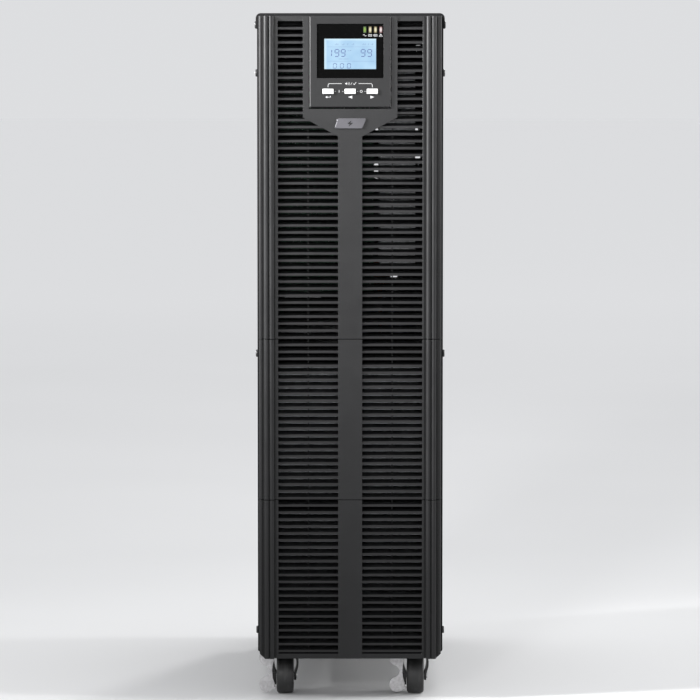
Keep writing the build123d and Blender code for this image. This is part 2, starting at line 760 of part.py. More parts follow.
def fan_guards():
    """Wire finger guards: rings on crossed wires, with an eye at each screw."""
    guards = []
    wire = 0.9
    y = BODY_REAR + wire + 0.1
    for x, z in fan_places():
        pieces = []
        for radius in (12.0, 20.5, 29.0, 37.5):
            pieces.append(Pos(0, y + 1.2, 0) * Rot(90, 0, 0) * Torus(radius, wire))
        for turn in (45, 135):
            reach = FAN_SCREW * math.sqrt(2) - 3
            pieces.append(Rot(0, turn, 0) * rod_x(wire, -reach, reach, y, 0))
        for dx in (-FAN_SCREW, FAN_SCREW):
            for dz in (-FAN_SCREW, FAN_SCREW):
                pieces.append(Pos(dx, y, dz) * Rot(90, 0, 0) * Torus(3.2, wire))
        guards.append(Pos(x, 0, z) * joined(pieces))
    return separate(guards)


def breaker_body():
    """Two-pole input breaker with a well for its handle."""
    x, z = BREAKER_X, BREAKER_Z
    body = block(x - 18, x + 18, 150, BODY_REAR - SHEET - 0.2, z - 22, z + 22)
    body += block(x - 16, x + 16, BODY_REAR - 3, BODY_REAR + 1.4, z - 16, z + 16)
    body -= block(x - 11, x + 11, 203, BODY_REAR + 2, z - 10.5, z + 10.5)
    for bar in (x - 11.5, x + 10.5):
        body -= rod_x(2.05, bar - 1.6, bar + 2.6, BREAKER_PIVOT_Y, z)
    return body


def breaker_toggle():
    """Tied handle of the breaker on its pivot pins, resting in the upper position."""
    hub = rod_x(6.0, BREAKER_X - 10.6, BREAKER_X + 10.6, BREAKER_PIVOT_Y, BREAKER_Z)
    pins = rod_x(2.0, BREAKER_X - 12.8, BREAKER_X + 12.8, BREAKER_PIVOT_Y, BREAKER_Z)
    handle = block(-10.6, 10.6, 0, 7.4, -1.7, 1.7)
    handle = fillet(handle.edges().filter_by(Axis.X).sort_by(Axis.Y)[2:], 1.2)
    handle = Pos(BREAKER_X, BREAKER_PIVOT_Y, BREAKER_Z) * Rot(BREAKER_TILT, 0, 0) * handle
    return hub + pins + handle


def terminal_block():
    """Row of wire clamps behind the cable cover."""
    half = 66.0
    body = block(-half, half, 188, 212, 421, 448)
    for index in range(9):
        x = -58.0 + index * 14.5
        body -= block(x - 5, x + 5, 200, 213, 424, 436)
        body -= rod_y(3.0, 206, 213, x, 442)
    return body


def terminal_cover():
    """Plate over the terminals, with a hole for each cable grommet."""
    half, low, high = TERMINAL_OPENING
    y0 = BODY_REAR + 0.1
    body = block(-half - 6, half + 6, y0, y0 + 1.5, low - 5, high + 4.5)
    body = fillet(body.edges().filter_by(Axis.Y), 3.0)
    for x in GLAND_X:
        body -= rod_y(11.1, y0 - 1, y0 + 3, x, GLAND_Z)
    for x in (-half - 2.8, half + 2.8):
        for z in (low + 8, high - 8):
            body += rod_y(2.2, y0 + 1.4, y0 + 3.0, x, z)
    return body


def cable_grommets():
    """Rubber rings that line the cable holes, reaching the rearmost point of the unit."""
    rings = []
    y0 = BODY_REAR + 0.1
    for x in GLAND_X:
        ring = rod_y(11.0, REAR - 8, REAR, x, GLAND_Z)
        ring += rod_y(13.0, REAR - 8, y0, x, GLAND_Z)
        ring += rod_y(13.0, y0 + 1.5, REAR, x, GLAND_Z)
        ring -= rod_y(GLAND_BORE, REAR - 9, REAR + 1, x, GLAND_Z)
        rings.append(ring)
    return separate(rings)


def slot_cover():
    """Blank plate over the card slot, held by two thumb screws."""
    y0 = BODY_REAR + 0.05
    body = block(SLOT_X - 57, SLOT_X + 57, y0, y0 + SHEET, PORT_Z - 16, PORT_Z + 16)
    body = fillet(body.edges().filter_by(Axis.Y), 2.0)
    for x in (SLOT_X - 52, SLOT_X + 52):
        body += rod_y(4.0, y0 + 1, y0 + 4.2, x, PORT_Z)
        body += rod_y(1.4, y0 - 4, y0 + 0.5, x, PORT_Z)
    return body


def serial_port():
    """Nine-way socket with a slanted shell and two threaded posts."""
    x, z = SERIAL_X, PORT_Z
    y0 = BODY_REAR + 0.05
    body = block(x - 15.5, x + 15.5, y0, y0 + 1.0, z - 6.2, z + 6.2)
    body = fillet(body.edges().filter_by(Axis.Y), 2.0)
    shell = closed([(x - 8.4, z + 4.2), (x + 8.4, z + 4.2), (x + 7.0, z - 4.2), (x - 7.0, z - 4.2)])
    body += prism_y(shell, y0 - 10, REAR - 0.2)
    core = closed([(x - 7.6, z + 3.5), (x + 7.6, z + 3.5), (x + 6.4, z - 3.5), (x - 6.4, z - 3.5)])
    body -= prism_y(core, REAR - 3.4, REAR + 1)
    for column in range(5):
        body += rod_y(0.5, REAR - 3.6, REAR - 1.0, x - 5.4 + column * 2.7, z + 1.4)
    for column in range(4):
        body += rod_y(0.5, REAR - 3.6, REAR - 1.0, x - 4.05 + column * 2.7, z - 1.4)
    for post in (x - SERIAL_SPACING / 2, x + SERIAL_SPACING / 2):
        hexagon = [
            (post + 2.7 * math.cos(math.radians(60 * k)), z + 2.7 * math.sin(math.radians(60 * k)))
            for k in range(6)
        ]
        body += prism_y(closed(hexagon), y0 + 0.5, REAR - 0.4)
        body += rod_y(1.5, y0 - 5, y0 + 1, post, z)
        body -= rod_y(1.2, y0 - 4, REAR + 1, post, z)
    return body


def usb_port():
    """Square data socket with its centre tongue."""
    x, z = USB_X, PORT_Z
    body = block(x - 6.0, x + 6.0, BODY_REAR - 16, BODY_REAR + 0.8, z - 5.5, z + 5.5)
    body -= block(x - 5.2, x + 5.2, BODY_REAR - 9, BODY_REAR + 1, z - 4.7, z + 4.7)
    body += block(x - 2.9, x + 2.9, BODY_REAR - 10, BODY_REAR - 0.4, z - 1.6, z + 1.6)
    return body


# ---------------------------------------------------------------- casters
# Each caster is drawn about its swivel axis, trailing towards -Y.

def caster_places():
    """Name, swivel position, turn about Z, and whether it has a brake."""
    return (
        ("front_left", -CASTER_X, -CASTER_Y, 0, True),
        ("front_right", CASTER_X, -CASTER_Y, 0, True),
        ("rear_left", -CASTER_X, CASTER_Y, 180, False),
        ("rear_right", CASTER_X, CASTER_Y, 180, False),
    )


def placed(shape, x, y, turn):
    return Pos(x, y, 0) * Rot(0, 0, turn) * shape


def caster_bolt_positions():
    corners = [(dx, dy) for dx in (-CASTER_BOLT, CASTER_BOLT) for dy in (-CASTER_BOLT, CASTER_BOLT)]
    return [(x + dx, y + dy) for _, x, y, _, _ in caster_places() for dx, dy in corners]


def caster_plates():
    plates = []
    half = CASTER_PLATE / 2
    for _, x, y, _, _ in caster_places():
        plate = block(x - half, x + half, y - half, y + half, PAN_BOTTOM - 2, PAN_BOTTOM)
        plate = fillet(plate.edges().filter_by(Axis.Z), 4.0)
        plate += rod_z(14.0, CROWN_HIGH + 0.9, PAN_BOTTOM - 1, x, y)
        plate -= rod_z(KINGPIN_RADIUS + 0.05, PAN_BOTTOM - 10, PAN_BOTTOM + 1, x, y)
        plates.append(plate)
    holes = [rod_z(2.25, PAN_BOTTOM - 3, PAN_BOTTOM + 1, x, y) for x, y in caster_bolt_positions()]
    return separate([cut_all(plate, holes) for plate in plates])


def caster_screws():
    screws = []
    for x, y in caster_bolt_positions():
        head = rod_z(3.6, PAN_BOTTOM - 4.2, PAN_BOTTOM - 2, x, y)
        head = fillet(head.faces().sort_by(Axis.Z)[0].edges(), 0.8)
        screws.append(head + rod_z(2.0, PAN_BOTTOM - 3, PAN_TOP + 0.9, x, y))
    return separate(screws)


def caster_kingpins():
    pins = []
    for _, x, y, _, _ in caster_places():
        pin = rod_z(KINGPIN_RADIUS, CROWN_LOW - 0.5, PAN_BOTTOM - 0.2, x, y)
        pins.append(pin + rod_z(7.0, CROWN_LOW - 2.2, CROWN_LOW - 0.2, x, y))
    return separate(pins)


def fork(braked):
    """Pressed fork: bulged legs under a round crown, and an ear for the brake lever."""
    outline = [
        ThreePointArc((9.5, CROWN_HIGH), (12.9, 37.0), (13.5, 29.0)),
        ThreePointArc((13.5, 29.0), (12.7, 25.0), (LEG_OUT, 21.5)),
        Polyline((LEG_OUT, 21.5), (LEG_OUT, 9.4), (LEG_IN, 9.4), (LEG_IN, 21.5)),
        ThreePointArc((LEG_IN, 21.5), (10.5, 25.4), (11.3, 29.0)),
        ThreePointArc((11.3, 29.0), (10.8, 36.3), (8.0, CROWN_LOW)),
        Polyline((8.0, CROWN_LOW), (8.0, CROWN_HIGH), (9.5, CROWN_HIGH)),
    ]
    leg = prism_y(outline, -30, 20)
    side = [
        Polyline((13.0, 40.0), (13.0, CROWN_HIGH), (LEG_FRONT, CROWN_HIGH), (LEG_FRONT, WHEEL_RADIUS)),
        ThreePointArc((LEG_FRONT, WHEEL_RADIUS), (-TRAIL, 13.1), (-8.1, WHEEL_RADIUS)),
        Line((-8.1, WHEEL_RADIUS), (13.0, 40.0)),
    ]
    leg &= prism_x(side, 5, 20)
    crown = block(-9.0, 9.0, LEG_FRONT, 13.0, CROWN_LOW, CROWN_HIGH)
    crown += rod_z(13.0, CROWN_LOW, CROWN_HIGH, 0, 0)
    crown += rod_z(12.0, CROWN_LOW, CROWN_HIGH + 0.6, 0, 0)
    body = joined(both_sides(leg) + [crown])
    if braked:
        body += block(-LEG_OUT - 1.2, -LEG_IN, LEG_FRONT, -8.1, 9.4, 21.0)
        body += block(PIVOT_X, -11.6, LEG_FRONT, LEG_FRONT + 1.7, PIVOT_Z - 1.5, PIVOT_Z + 1.5)
        body += rod_y(1.5, LEG_FRONT, LEG_FRONT + 1.7, PIVOT_X, PIVOT_Z)
        body -= rod_y(1.0, LEG_FRONT - 1, LEG_FRONT + 3, PIVOT_X, PIVOT_Z)
    body -= rod_z(KINGPIN_RADIUS + 0.08, CROWN_LOW - 1, CROWN_HIGH + 2, 0, 0)
    seat = LEG_OUT + 1.2 if braked else LEG_OUT
    body -= rod_x(4.4, -20, -seat - 0.05, -TRAIL, WHEEL_RADIUS)
    body -= rod_x(4.4, LEG_OUT + 0.05, 20, -TRAIL, WHEEL_RADIUS)
    return body - rod_x(AXLE_RADIUS + 0.02, -20, 20, -TRAIL, WHEEL_RADIUS)


def wheel():
    """Rounded tread on a web that is dished at both sides."""
    half = WHEEL_HALF
    bore = AXLE_RADIUS + 0.06
    right = [
        Polyline((0, bore), (half + 0.2, bore), (half + 0.2, 6.0), (6.2, 6.8), (6.2, 13.6), (half, 14.6)),
        Line((half, 14.6), (half, 16.2)),
        ThreePointArc((half, 16.2), (7.7, 17.9), (5.8, 18.6)),
        ThreePointArc((5.8, 18.6), (0, WHEEL_RADIUS), (-5.8, 18.6)),
    ]
    left = [mirror(edge, about=Plane.YZ) for edge in right[:3]]
    disc = revolve(Plane.XY * make_face(right + left), axis=Axis.X)
    return Pos(0, -TRAIL, WHEEL_RADIUS) * disc


def axle(braked):
    """Riveted wheel axle; a braked caster also has the pin that the lever rocks on."""
    head = -LEG_OUT - 1.3 if braked else -LEG_OUT - 0.1
    pin = rod_x(AXLE_RADIUS, head - 0.9, LEG_OUT + 1.0, -TRAIL, WHEEL_RADIUS)
    pin += rod_x(4.2, head - 0.9, head, -TRAIL, WHEEL_RADIUS)
    pin += rod_x(3.8, LEG_OUT + 0.1, LEG_OUT + 1.0, -TRAIL, WHEEL_RADIUS)
    if not braked:
        return pin
    pivot = rod_y(1.0, LEVER_FRONT - 0.8, LEG_FRONT + 1.7, PIVOT_X, PIVOT_Z)
    pivot += rod_y(1.5, LEVER_FRONT - 0.8, LEVER_FRONT - 0.1, PIVOT_X, PIVOT_Z)
    return separate([pin, pivot])


def tangent_point(lobe, centre):
    """Where a lobe of the lever runs smoothly into a waist arc about centre."""
    span = math.dist(lobe, centre)
    return tuple(a + (b - a) * LOBE_RADIUS / span for a, b in zip(lobe, centre))


def brake_lever():
    """Dog-bone rocker with two foot lobes and a finger beside the wheel."""
    high, low = (LOBE_X, LOBE_HIGH), (LOBE_X, LOBE_LOW)
    rise = (LOBE_HIGH - LOBE_LOW) / 2
    out, inn = LOBE_X - NECK_OUT, NECK_IN - LOBE_X
    outer_radius = (out**2 + rise**2 - LOBE_RADIUS**2) / (2 * (LOBE_RADIUS - out))
    inner_radius = (inn**2 + rise**2 - LOBE_RADIUS**2) / (2 * (LOBE_RADIUS - inn))
    outer = (NECK_OUT - outer_radius, PIVOT_Z)
    inner = (NECK_IN + inner_radius, PIVOT_Z)
    corner = LOBE_RADIUS * math.sqrt(0.5)
    outline = [
        ThreePointArc(tangent_point(low, outer), (NECK_OUT, PIVOT_Z), tangent_point(high, outer)),
        ThreePointArc(
            tangent_point(high, outer), (LOBE_X - corner, LOBE_HIGH + corner), tangent_point(high, inner)
        ),
        ThreePointArc(tangent_point(high, inner), (NECK_IN, PIVOT_Z), tangent_point(low, inner)),
        ThreePointArc(
            tangent_point(low, inner), (LOBE_X - corner, LOBE_LOW - corner), tangent_point(low, outer)
        ),
    ]
    plate = prism_y(outline, LEVER_FRONT, LEVER_BACK)
    tip = -WHEEL_HALF - 0.3
    plate += block(-14.0, tip - 1.0, LEVER_FRONT, LEVER_BACK, 5.3, 7.5)
    plate += rod_y(1.1, LEVER_FRONT, LEVER_BACK, tip - 1.1, 6.4)
    return plate - rod_y(1.05, LEVER_FRONT - 1, LEVER_BACK + 1, PIVOT_X, PIVOT_Z)


# ---------------------------------------------------------------- all nodes

def caster_nodes():
    nodes = {}
    for name, x, y, turn, braked in caster_places():
        nodes[f"caster_fork_{name}"] = placed(fork(braked), x, y, turn)
        nodes[f"caster_wheel_{name}"] = placed(wheel(), x, y, turn)
        nodes[f"caster_axle_{name}"] = placed(axle(braked), x, y, turn)
        if braked:
            nodes[f"brake_lever_{name}"] = placed(brake_lever(), x, y, turn)
    return nodes


def all_nodes():
    nodes = {
        "base_pan": base_pan(),
        "rear_panel": rear_panel(),
        "side_panel_left": side_panel_left(),
        "side_panel_right": side_panel_right(),
        "top_cover": top_cover(),
        "front_frame": front_frame(),
        "battery_shelf": battery_shelf(),
        "electronics_deck": electronics_deck(),
        "bezel_top": bezel_top(),
        "bezel_middle": bezel_middle(),
        "bezel_bottom": bezel_bottom(),
        "control_fascia": control_fascia(),
        "display_window": display_window(),
        "lcd_module": lcd_module(),
        "indicator_lenses": indicator_lenses(),
        "display_board": display_board(),
        "badge_plate": badge_plate(),
        "button_enter": key(KEY_X[0]),
        "button_left": key(KEY_X[1]),
        "button_right": key(KEY_X[2]),
        "main_board": main_board(),
        "heatsinks": heatsinks(),
        "capacitors": capacitors(),
        "inductors": inductors(),
        "fan_frames": fan_frames(),
        "fan_rotor_left": fan_rotor(-FAN_X),
        "fan_rotor_right": fan_rotor(FAN_X),
        "fan_guards": fan_guards(),
        "breaker_body": breaker_body(),
        "breaker_toggle": breaker_toggle(),
        "terminal_block": terminal_block(),
        "terminal_cover": terminal_cover(),
        "cable_grommets": cable_grommets(),
        "slot_cover": slot_cover(),
        "serial_port": serial_port(),
        "usb_port": usb_port(),
        "panel_screws": panel_screws(),
        "caster_plates": caster_plates(),
        "caster_screws": caster_screws(),
        "caster_kingpins": caster_kingpins(),
    }
    for name, floor in zip(("lower", "upper"), TRAY_FLOORS):
        nodes[f"battery_tray_{name}"] = tray(floor)
        nodes[f"batteries_{name}"] = batteries(floor)
        nodes[f"battery_links_{name}"] = battery_links(floor)
    nodes.update(caster_nodes())
    return nodes


os.makedirs("parts", exist_ok=True)
for node_name, node_shape in all_nodes().items():
    export_step(node_shape, f"parts/{node_name}.step")
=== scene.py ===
import json
import math
import bmesh
import bpy
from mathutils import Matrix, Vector


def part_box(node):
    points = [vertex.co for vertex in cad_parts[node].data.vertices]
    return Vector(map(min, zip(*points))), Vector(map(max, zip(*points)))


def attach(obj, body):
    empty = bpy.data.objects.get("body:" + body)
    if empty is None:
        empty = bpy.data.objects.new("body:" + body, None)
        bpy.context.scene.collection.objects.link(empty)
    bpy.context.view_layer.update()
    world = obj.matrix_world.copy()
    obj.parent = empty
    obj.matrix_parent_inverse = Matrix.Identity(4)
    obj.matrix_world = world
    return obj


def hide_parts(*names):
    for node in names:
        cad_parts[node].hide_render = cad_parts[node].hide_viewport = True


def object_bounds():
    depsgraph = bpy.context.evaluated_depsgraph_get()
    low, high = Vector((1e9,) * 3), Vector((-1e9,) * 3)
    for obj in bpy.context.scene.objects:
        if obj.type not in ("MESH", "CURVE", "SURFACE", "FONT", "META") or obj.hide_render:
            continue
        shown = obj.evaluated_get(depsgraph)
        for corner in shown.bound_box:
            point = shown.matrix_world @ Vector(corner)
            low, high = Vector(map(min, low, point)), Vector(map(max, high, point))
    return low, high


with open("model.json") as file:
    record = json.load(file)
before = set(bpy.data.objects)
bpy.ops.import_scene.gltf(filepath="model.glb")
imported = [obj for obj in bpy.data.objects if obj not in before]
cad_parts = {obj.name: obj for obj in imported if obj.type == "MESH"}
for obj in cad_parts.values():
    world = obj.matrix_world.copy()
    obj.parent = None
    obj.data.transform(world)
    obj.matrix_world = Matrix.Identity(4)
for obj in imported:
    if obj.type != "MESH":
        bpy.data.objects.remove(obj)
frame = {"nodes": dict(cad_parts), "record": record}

# Looks of a tower uninterruptible power supply: finishes for every CAD part, the display's
# characters, the printed symbols and the fan rotors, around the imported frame.  Metres, +Z up.

CAD_LOW, CAD_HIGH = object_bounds()
MM = 0.001
INK = 0.04 * MM  # thickness of printed and display characters


# ---------------------------------------------------------------- places read from the frame

def centre(node):
    low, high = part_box(node)
    return (low + high) / 2


FASCIA_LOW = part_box("control_fascia")[0]
WINDOW_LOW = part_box("display_window")[0]
LENS_LOW, LENS_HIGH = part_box("indicator_lenses")
KEY_MIDDLES = [centre(f"button_{name}") for name in ("enter", "left", "right")]
LCD_FRAME_LOW, LCD_FRAME_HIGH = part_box("lcd_module")
LCD_RIM_X = 4.4 * MM  # the module's frame reaches this far beside the glass
LCD_RIM_Z = 4.6 * MM  # and this far above and below it
GLASS_Y = LCD_FRAME_LOW.y
GLASS_HALF = (LCD_FRAME_HIGH.x - LCD_FRAME_LOW.x) / 2 - LCD_RIM_X
GLASS_HIGH = LCD_FRAME_HIGH.z - LCD_FRAME_LOW.z - 2 * LCD_RIM_Z
GLASS_MIDDLE = centre("lcd_module").z
LENS_WIDE = 2.8 * MM
LAMP_FIRST = LENS_LOW.x + LENS_WIDE / 2  # middle of the left lamp
LAMP_PITCH = (LENS_HIGH.x - LENS_LOW.x - LENS_WIDE) / 3


# ---------------------------------------------------------------- material building

class Surface:
    """A procedural material: one Principled shader and short calls that add nodes to it."""

    def __init__(self, name, **constants):
        self.material = bpy.data.materials.new(name)
        self.material.use_nodes = True
        self.tree = self.material.node_tree
        self.shader = self.tree.nodes["Principled BSDF"]
        self.where = self.node("ShaderNodeTexCoord").outputs["Object"]
        for key, value in constants.items():
            self.shader.inputs[key.replace("_", " ")].default_value = value

    def node(self, kind, **settings):
        made = self.tree.nodes.new(kind)
        for key, value in settings.items():
            setattr(made, key, value)
        return made

    def feed(self, output, name):
        self.tree.links.new(output, self.shader.inputs[name])

    def fill(self, node, values):
        """Sets or links a node's inputs, by number or name."""
        for key, value in values.items():
            if isinstance(value, bpy.types.NodeSocket):
                self.tree.links.new(value, node.inputs[key])
            else:
                node.inputs[key].default_value = value
        return node

    def stretched(self, stretch):
        made = self.fill(self.node("ShaderNodeMapping"), {"Vector": self.where, "Scale": stretch})
        return made.outputs[0]

    def noise(self, per_metre, detail=2.0, stretch=None):
        vector = self.stretched(stretch) if stretch else self.where
        values = {"Vector": vector, "Scale": per_metre, "Detail": detail}
        return self.fill(self.node("ShaderNodeTexNoise"), values).outputs[0]

    def cells(self, per_metre, feature="F1"):
        made = self.node("ShaderNodeTexVoronoi", feature=feature)
        return self.fill(made, {"Vector": self.where, "Scale": per_metre})

    def spread(self, value, low, high, start=0.3, end=0.7):
        """Maps a value between start and end onto low to high."""
        values = {"Value": value, "From Min": start, "From Max": end, "To Min": low, "To Max": high}
        return self.fill(self.node("ShaderNodeMapRange"), values).outputs[0]

    def combine(self, operation, first, second=0.0):
        """The result of a math operation on one or two values."""
        return self.fill(self.node("ShaderNodeMath", operation=operation), {0: first, 1: second}).outputs[0]

    def mix(self, factor, first, second):
        made = self.node("ShaderNodeMix", data_type="RGBA")
        return self.fill(made, {0: factor, 6: first, 7: second}).outputs[2]

    def axis(self, letter):
        made = self.fill(self.node("ShaderNodeSeparateXYZ"), {0: self.where})
        return made.outputs["XYZ".index(letter)]

    def soft_normal(self, radius):
        made = self.node("ShaderNodeBevel", samples=4)
        made.inputs["Radius"].default_value = radius
        return made.outputs[0]

    def edge_mask(self, soft, threshold=0.985):
        """Near 1 on sharp corners and 0 on flats."""
        flat = self.node("ShaderNodeNewGeometry").outputs["Normal"]
        dot = self.node("ShaderNodeVectorMath", operation="DOT_PRODUCT")
        self.fill(dot, {0: soft, 1: flat})
        return self.spread(dot.outputs["Value"], 1.0, 0.0, threshold - 0.14, threshold)

    def relief(self, height, depth, normal=None):
        made = self.fill(self.node("ShaderNodeBump"), {"Height": height, "Distance": depth})
        if normal is not None:
            self.tree.links.new(normal, made.inputs["Normal"])
        return made.outputs[0]


def grey(value):
    return (value, value, value, 1.0)


def tone(colour, share):
    return tuple(min(1.0, part * share) for part in colour[:3]) + (1.0,)


def moulded(name, colour, gloss, grain=1500.0, depth=0.05 * MM, wear=0.35, **constants):
    """Moulded plastic or painted metal: fine grain, uneven gloss, dusty patches and rubbed edges."""
    made = Surface(name, **constants)
    soft = made.soft_normal(0.35 * MM)
    fine = made.noise(grain, 3.0)
    patches = made.noise(14.0, 4.0)
    body = made.mix(made.spread(patches, 0.0, 1.0), tone(colour, 0.88), tone(colour, 1.14))
    flecks = made.spread(fine, 0.0, 0.35, 0.55, 0.85)
    body = made.mix(flecks, body, tone(colour, 1.7))
    rubbed = made.combine("MULTIPLY", made.edge_mask(soft), made.spread(made.noise(260.0, 4.0), 0.1, wear))
    made.feed(made.mix(rubbed, body, tone(colour, 3.2)), "Base Color")
    low, high = gloss
    haze = made.spread(made.noise(45.0, 5.0), low, high)
    made.feed(made.combine("ADD", haze, made.spread(fine, -0.04, 0.04)), "Roughness")
    made.feed(made.relief(fine, depth, soft), "Normal")
    return made


def bare_metal(name, colour, gloss, streak=(1, 1, 1), scale=900.0):
    """Bare or plated metal with drawn streaks, faint tarnish and brighter edges."""
    made = Surface(name, Metallic=1.0)
    soft = made.soft_normal(0.3 * MM)
    lines = made.noise(scale, 3.0, streak)
    tarnish = made.noise(60.0, 5.0)
    body = made.mix(made.spread(tarnish, 0.0, 1.0), tone(colour, 0.78), colour)
    bright = made.combine("MULTIPLY", made.edge_mask(soft), 0.6)
    made.feed(made.mix(bright, body, tone(colour, 1.35)), "Base Color")
    low, high = gloss
    made.feed(made.spread(lines, low, high), "Roughness")
    made.feed(made.relief(lines, 0.02 * MM, soft), "Normal")
    return made


# ---------------------------------------------------------------- finishes

SATIN = {"Specular_IOR_Level": 0.26}


def cabinet_steel():
    """Black powder coat with its orange-peel skin."""
    colour = (0.0045, 0.0045, 0.005, 1)
    made = moulded("cabinet_steel", colour, (0.46, 0.58), 620.0, 0.10 * MM, 0.3, Specular_IOR_Level=0.14)
    return made.material


def bezel_plastic():
    made = moulded("bezel_plastic", (0.011, 0.011, 0.0115, 1), (0.34, 0.44), 1900.0, 0.05 * MM, 0.45, **SATIN)
    return made.material


def fascia_plastic():
    colour = (0.0075, 0.0075, 0.008, 1)
    made = moulded("fascia_plastic", colour, (0.42, 0.52), 2300.0, 0.04 * MM, 0.4, **SATIN)
    return made.material


def window_black():
    """Gloss acrylic sheet with a trace of dust and fine rub marks."""
    made = Surface("window_black", Specular_IOR_Level=0.02)
    dust = made.noise(900.0, 4.0)
    specks = made.spread(dust, 0.0, 0.5, 0.62, 0.8)
    made.feed(made.mix(specks, grey(0.002), grey(0.016)), "Base Color")
    rubs = made.noise(500.0, 3.0, (0.2, 1.0, 2.5))
    made.feed(made.spread(rubs, 0.05, 0.14), "Roughness")
    made.feed(made.soft_normal(0.2 * MM), "Normal")
    return made.material


def lcd_face():
    """Back-lit display: pale blue, brightest along its upper and left edges, with a fine pixel grain."""
    made = Surface("lcd_face", Roughness=0.25, Specular_IOR_Level=0.1, Emission_Strength=0.84)
    height, across = made.axis("Z"), made.axis("X")
    top = GLASS_MIDDLE + GLASS_HIGH / 2
    near_top = made.spread(height, 0.0, 1.0, top - 2.4 * MM, top)
    near_left = made.spread(across, 1.0, 0.0, -GLASS_HALF, -GLASS_HALF + 3.0 * MM)
    rim = made.combine("MAXIMUM", near_top, near_left)
    uneven = made.spread(made.noise(70.0, 2.0), 0.0, 1.0)
    field = made.mix(uneven, (0.40, 0.60, 0.84, 1), (0.47, 0.68, 0.88, 1))
    glow = made.mix(rim, field, (0.72, 0.90, 1.0, 1))
    grid = made.noise(2600.0, 1.0)
    made.feed(made.mix(made.spread(grid, 0.0, 0.12), glow, (0.2, 0.36, 0.6, 1)), "Emission Color")
    made.feed(made.mix(uneven, (0.03, 0.05, 0.06, 1), (0.05, 0.07, 0.08, 1)), "Base Color")
    return made.material


def display_ink(name, colour):
    """Darkened liquid crystal: it passes part of the back light."""
    made = Surface(name, Roughness=0.4, Specular_IOR_Level=0.1, Emission_Strength=0.9)
    uneven = made.spread(made.noise(900.0, 2.0), 0.0, 1.0)
    made.feed(made.mix(uneven, tone(colour, 0.9), tone(colour, 1.1)), "Emission Color")
    made.feed(made.mix(uneven, grey(0.010), grey(0.016)), "Base Color")
    return made.material


def lens_clear():
    """Lamp lenses: green, two warm white and one red-rimmed, each brightest in its middle."""
    made = Surface("lens_clear", Roughness=0.25, Emission_Strength=0.8, Specular_IOR_Level=0.12)
    across, height = made.axis("X"), made.axis("Z")
    glow_half_wide = 1.5 * MM
    glow_half_high = 3.2 * MM
    count = made.combine("DIVIDE", made.combine("SUBTRACT", across, LAMP_FIRST - LAMP_PITCH / 2), LAMP_PITCH)
    share = made.combine("SUBTRACT", made.combine("FRACT", count), 0.5)
    offset = made.combine("MULTIPLY", share, LAMP_PITCH / glow_half_wide)
    above = made.combine("SUBTRACT", height, (LENS_LOW.z + LENS_HIGH.z) / 2)
    rise = made.combine("DIVIDE", above, glow_half_high)
    across_squared = made.combine("MULTIPLY", offset, offset)
    reach = made.combine("ADD", across_squared, made.combine("MULTIPLY", rise, rise))
    lit = made.spread(reach, 1.0, 0.0, 0.15, 0.95)
    second = made.spread(count, 0.0, 1.0, 0.99, 1.01)
    last = made.spread(count, 0.0, 1.0, 2.99, 3.01)
    core = made.mix(second, (0.26, 0.46, 0.02, 1), (0.92, 0.84, 0.56, 1))
    core = made.mix(last, core, (1.0, 0.86, 0.84, 1))
    rim = made.mix(second, (0.05, 0.12, 0.0, 1), (0.22, 0.16, 0.04, 1))
    rim = made.mix(last, rim, (0.16, 0.006, 0.01, 1))
    made.feed(made.mix(lit, rim, core), "Emission Color")
    made.feed(made.mix(made.spread(made.noise(800.0), 0.0, 1.0), grey(0.02), grey(0.03)), "Base Color")
    return made.material


def key_white():
    """White keys in uneven, slightly warm white."""
    return moulded("key_white", (0.55, 0.55, 0.54, 1), (0.30, 0.42), 1800.0, 0.02 * MM, 0.1).material


def badge_silver():
    return bare_metal("badge_silver", (0.105, 0.103, 0.112, 1), (0.36, 0.5), (0.06, 1, 1), 2600.0).material


def galvanised_steel():
    """Zinc spangle: flat crystals that each catch the light differently."""
    made = Surface("galvanised_steel", Metallic=1.0)
    crystals = made.cells(130.0)
    pick = made.fill(made.node("ShaderNodeSeparateXYZ"), {0: crystals.outputs["Color"]}).outputs[0]
    fine = made.noise(1400.0, 3.0)
    colour = made.mix(pick, (0.46, 0.48, 0.50, 1), (0.62, 0.64, 0.66, 1))
    made.feed(made.mix(made.spread(fine, 0.0, 0.3), colour, (0.36, 0.37, 0.38, 1)), "Base Color")
    facets = made.spread(pick, 0.30, 0.46, 0.0, 1.0)
    made.feed(made.combine("ADD", facets, made.spread(fine, 0.0, 0.08)), "Roughness")
    made.feed(made.relief(fine, 0.02 * MM, made.soft_normal(0.3 * MM)), "Normal")
    return made.material


def battery_case():
    """Dark grey moulded case, terminals and all."""
    return moulded("battery_case", (0.028, 0.029, 0.032, 1), (0.42, 0.55), 1100.0, wear=0.4).material


def copper_link():
    return bare_metal("copper_link", (0.80, 0.38, 0.24, 1), (0.25, 0.45), (1, 1, 0.1), 1200.0).material


def circuit_board():
    """Green solder mask with paler tracks and pale pads, on the parts as on the board."""
    made = Surface("circuit_board", Coat_Weight=0.3, Coat_Roughness=0.2)
    tracks = made.cells(160.0, "DISTANCE_TO_EDGE").outputs["Distance"]
    line = made.spread(tracks, 1.0, 0.0, 0.05, 0.09)
    pads = made.spread(made.cells(340.0).outputs["Distance"], 1.0, 0.0, 0.16, 0.2)
    mask = made.mix(line, (0.010, 0.090, 0.040, 1), (0.030, 0.190, 0.080, 1))
    made.feed(made.mix(pads, mask, (0.55, 0.56, 0.55, 1)), "Base Color")
    made.feed(made.spread(made.noise(300.0, 3.0), 0.30, 0.45), "Roughness")
    made.feed(made.relief(line, 0.03 * MM, made.soft_normal(0.2 * MM)), "Normal")
    return made.material


